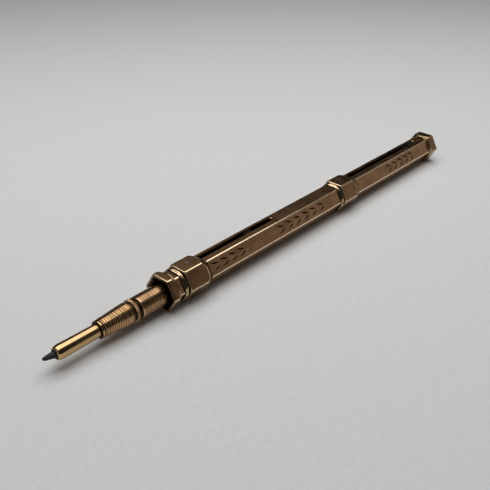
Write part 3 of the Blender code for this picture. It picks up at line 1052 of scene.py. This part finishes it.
def nozzle_tube(material):
    """The polished tube that holds the lead, with a rounded mouth and a stem in the cone."""
    front, rear = span("nozzle_tube")
    seat = span("grip_cone")[0]
    wide = radius("nozzle_tube")
    narrow = wide - 0.10
    stem = narrow - 0.08
    outer = [
        (front, 0.98),
        (front + 0.10, 1.12),
        (front + 0.30, 1.26),
        (front + 0.62, wide - 0.07),
        (front + 1.10, wide),
        (seat - 0.05, narrow),
        (seat - 0.04, stem),
        (rear, stem),
    ]
    bore = [(front, 0.94), (front + 0.25, 0.83), (rear, 0.82)]
    turned_piece(
        "nozzle_tube_fine",
        "nozzle_tube",
        "nozzle",
        outer,
        bore,
        material,
        outer_count=170,
        rub=NOZZLE_RUB,
        # Painted shade on the stem inside the cone's seat.
        dirt_and_shade_marks=[(seat - 0.30, rear, 1.0)],
    )


def grip_cone(material):
    """The cone, with a bead and a groove in front, tool rings, and a stem behind."""
    front, rear = span("grip_cone")
    shoulder = span("milled_ring")[0] - 0.89
    outer = [
        (front, 1.40),
        (front + 0.02, 1.66),
        (front + 0.16, 1.80),
        (front + 0.46, 1.82),
        (front + 0.52, 1.66),
        (front + 0.70, 1.66),
        (front + 0.76, 1.84),
        (front + 1.10, 1.89),
        (front + 2.60, 1.96),
        (front + 4.80, 2.13),
        (shoulder, 2.26),
        (shoulder + 0.05, 1.98),
        (rear, 1.98),
    ]
    bore = [(front, 1.31), (front + 5.0, 1.31), (front + 5.05, 1.40), (rear, 1.40)]
    turned_piece(
        "grip_cone_fine",
        "grip_cone",
        "nozzle",
        outer,
        bore,
        material,
        outer_count=300,
        relief=tool_rings(
            spacing=0.42,
            depth=0.09,
            seed=7,
            start=front + 1.0,
            end=shoulder - 0.15,
            outside=1.7,
        ),
        # Painted shade on the front face, in the groove behind the bead and on the stem behind
        # the shoulder.
        dirt_and_shade_marks=[
            (front - 0.10, front + 0.10, 1.0),
            (front + 0.50, front + 0.74, 1.0),
            (shoulder + 0.02, rear, 1.0),
        ],
    )


MILLED_TEETH = 46
POINTS_PER_TOOTH = 8
TOOTH_DEPTH = 0.07


def milled_ring(material):
    front, rear = span("milled_ring")
    outside = radius("milled_ring")

    def relief(xs, reaches, angles):
        depth = TOOTH_DEPTH * (0.5 - 0.5 * np.cos(MILLED_TEETH * angles[None, :] * DEGREE))
        return reaches - depth * (reaches > outside - 0.12)

    outer = [
        (front, outside - 0.06),
        (front + 0.10, outside),
        (rear - 0.10, outside),
        (rear, outside - 0.06),
    ]
    turned_piece(
        "milled_ring_fine",
        "milled_ring",
        "nozzle",
        outer,
        [(front, 2.03), (rear, 2.03)],
        material,
        outer_count=30,
        bore_count=4,
        sides=POINTS_PER_TOOTH * MILLED_TEETH,
        relief=relief,
    )


PENCIL_WALL = 0.25
PEN_WALL = 0.30


def pencil_body(material):
    front, rear = span("pencil_body_tube")
    outside = radius("pencil_body_tube")
    inside = outside - PENCIL_WALL
    outer = [
        (front, outside - 0.10),
        (front + 0.12, outside),
        (rear - 0.05, outside),
        (rear, outside - 0.05),
    ]
    turned_piece(
        "pencil_body_fine",
        "pencil_body_tube",
        "pencil",
        outer,
        [(front, inside), (rear, inside)],
        material,
        outer_count=420,
        relief=tool_rings(
            spacing=0.55,
            depth=0.035,
            seed=11,
            start=front + 0.4,
            end=1.5,
            outside=outside - 0.2,
        ),
    )


def pen_body(material):
    """The nib holder's tube, with one groove near its rear end."""
    front, rear = span("pen_tube")
    outside = radius("pen_tube")
    inside = outside - PEN_WALL
    outer = [
        (front, outside),
        (rear - 1.6, outside),
        (rear - 1.5, outside - 0.08),
        (rear - 1.3, outside - 0.08),
        (rear - 1.2, outside),
        (rear - 0.15, outside),
        (rear, outside - 0.10),
    ]
    turned_piece(
        "pen_body_fine",
        "pen_tube",
        "pen",
        outer,
        [(front, inside), (rear, inside)],
        material,
        outer_count=240,
        relief=tool_rings(
            spacing=0.8,
            depth=0.02,
            seed=23,
            start=front + 14,
            end=rear - 1.8,
            outside=outside - 0.2,
        ),
    )


LEAD_RISE = 0.3
LEAD_SIDES = 72
LEAD_STATIONS = 70
LEAD_SEED = 5
LEAD_WAVES = 6
LEAD_UNEVENNESS = 0.010
LEAD_SHOWN_FROM = 0.1
LEAD_CROWDING = 1.2
LEAD_POINT_UNEVENNESS = 1.6
LEAD_SHRINK = 0.01
LEAD_LEAST = 0.02
LEAD_TWIST = 2.1
LEAD_WAVE_TWIST = 1.7


def lead(material):
    """The lead, with a blunt point that is worn from below."""
    front, rear = span("lead")
    shown_from = span("nozzle_tube")[0] + LEAD_SHOWN_FROM
    full = radius("lead")
    angles = round_angles(LEAD_SIDES)
    offsets = np.random.default_rng(LEAD_SEED).uniform(0, 360, LEAD_WAVES)
    share = np.linspace(0, 1, LEAD_STATIONS)
    ahead_xs = front + (shown_from - front) * share**LEAD_CROWDING
    xs = np.concatenate([ahead_xs, [shown_from + 0.5, rear]])
    key_xs = [front, front + 0.05, front + 0.30, shown_from, rear]
    taper = np.interp(xs, key_xs, [0.10, 0.22, 0.37, full, full])
    grid_x = np.repeat(xs[:, None], len(angles), axis=1)
    uneven = np.zeros_like(grid_x)
    for wave, offset in enumerate(offsets):
        along = grid_x * (LEAD_TWIST + LEAD_WAVE_TWIST * wave)
        phase = (wave + 2) * angles[None, :] * DEGREE + offset + along
        uneven += LEAD_UNEVENNESS * np.sin(phase)
    ahead = np.clip((shown_from - grid_x) / (shown_from - front), 0, 1)
    reaches = taper[:, None] * (1 + uneven * LEAD_POINT_UNEVENNESS * (ahead > 0))
    reaches = np.maximum(reaches - LEAD_SHRINK, LEAD_LEAST)
    points = swept_points(grid_x, reaches, angles, TUBE_Z, LEAD_RISE * ahead)
    piece = grid_piece("lead_fine", points, closed=False)
    finish_piece(piece, "lead_train", ["lead"], material)


# ---------------------------------------------------------------- the pieces kept from the frame

KEPT_NODES = {
    "blackened_brass": ("pencil_saddle", "pen_saddle", "tail_saddle", "tail_plug", "pen_plug"),
    "tarnished_inner_brass": ("lead_spiral", "guide_tube", "retaining_collar", "nib_core"),
    "plain_steel": ("push_rod", "follower_pin", "pen_nib"),
}


def dress_inner_pieces(metals):
    """The pieces inside keep their frame shapes and get aged metal of their own."""
    for metal, nodes in KEPT_NODES.items():
        for node in nodes:
            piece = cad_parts[node]
            piece.data.materials.clear()
            piece.data.materials.append(metals[metal])


# ---------------------------------------------------------------- the whole scene

TURNED_LINES = (1.0, 0.02, 0.02)
DRAWN_LINES = (0.03, 1.0, 1.0)
FILED_LINES = (1.0, 0.3, 0.3)

METALS = {
    "aged_barrel_gold": {
        "base": (0.46, 0.262, 0.138, 1),
        "tarnish": (0.29, 0.155, 0.075, 1),
        "worn_and_highlit": (0.84, 0.64, 0.42, 1),
        "roughness": 0.30,
        "grain": DRAWN_LINES,
        "mottle": 0.8,
        "pits": 0.5,
        "on_barrel": True,
    },
    "aged_ring_gold": {
        "base": (0.36, 0.20, 0.10, 1),
        "tarnish": (0.21, 0.11, 0.052, 1),
        "worn_and_highlit": (0.84, 0.65, 0.40, 1),
        "roughness": 0.25,
        "grain": FILED_LINES,
        "mottle": 0.8,
        "pits": 0.5,
    },
    "polished_nozzle_gold": {
        "base": (0.56, 0.375, 0.185, 1),
        "tarnish": (0.47, 0.30, 0.14, 1),
        "worn_and_highlit": (0.62, 0.43, 0.22, 1),
        "roughness": 0.17,
        "grain": TURNED_LINES,
        "pits": 0.15,
    },
    "turned_cone_gold": {
        "base": (0.50, 0.295, 0.135, 1),
        "tarnish": (0.33, 0.185, 0.08, 1),
        "worn_and_highlit": (0.62, 0.40, 0.20, 1),
        "roughness": 0.19,
        "grain": TURNED_LINES,
        "grain_depth": 0.35,
        "mottle": 0.8,
        "pits": 0.5,
    },
    "coppery_tube_gold": {
        "base": (0.38, 0.205, 0.115, 1),
        "tarnish": (0.19, 0.125, 0.052, 1),
        "worn_and_highlit": (0.50, 0.34, 0.19, 1),
        "roughness": 0.22,
        "grain": TURNED_LINES,
        "grain_depth": 0.35,
        "mottle": 0.9,
        "pits": 0.6,
    },
    "tarnished_inner_brass": {
        "base": (0.44, 0.32, 0.15, 1),
        "tarnish": (0.24, 0.17, 0.08, 1),
        "worn_and_highlit": (0.60, 0.46, 0.24, 1),
        "roughness": 0.38,
        "grain": TURNED_LINES,
    },
    "blackened_brass": {
        "base": (0.022, 0.016, 0.011, 1),
        "tarnish": (0.012, 0.009, 0.007, 1),
        "worn_and_highlit": (0.07, 0.05, 0.03, 1),
        "roughness": 0.70,
        "grain": TURNED_LINES,
    },
    "plain_steel": {
        "base": (0.46, 0.46, 0.47, 1),
        "tarnish": (0.27, 0.25, 0.24, 1),
        "worn_and_highlit": (0.65, 0.65, 0.66, 1),
        "roughness": 0.30,
        "grain": DRAWN_LINES,
    },
    "dull_pin_steel": {
        "base": (0.155, 0.155, 0.135, 1),
        "tarnish": (0.10, 0.095, 0.08, 1),
        "worn_and_highlit": (0.22, 0.215, 0.19, 1),
        "roughness": 0.45,
        "grain": DRAWN_LINES,
    },
}


def main():
    make_camera()
    make_floor()
    make_world()
    for softbox in SOFTBOXES:
        make_softbox(*softbox)
    bpy.context.scene.view_settings.view_transform = "Standard"

    metals = {name: aged_metal(name, **look) for name, look in METALS.items()}
    barrel(metals["aged_barrel_gold"])
    mouth_ring(metals["aged_ring_gold"])
    end_ring(metals["aged_ring_gold"])
    for side, body in (("front", "pencil"), ("rear", "pen")):
        slider(side, body, metals["aged_ring_gold"])
        slider_pin(side, body, metals["dull_pin_steel"])
    nozzle_tube(metals["polished_nozzle_gold"])
    grip_cone(metals["turned_cone_gold"])
    milled_ring(metals["coppery_tube_gold"])
    pencil_body(metals["coppery_tube_gold"])
    pen_body(metals["coppery_tube_gold"])
    lead(graphite_material())
    dress_inner_pieces(metals)


main()
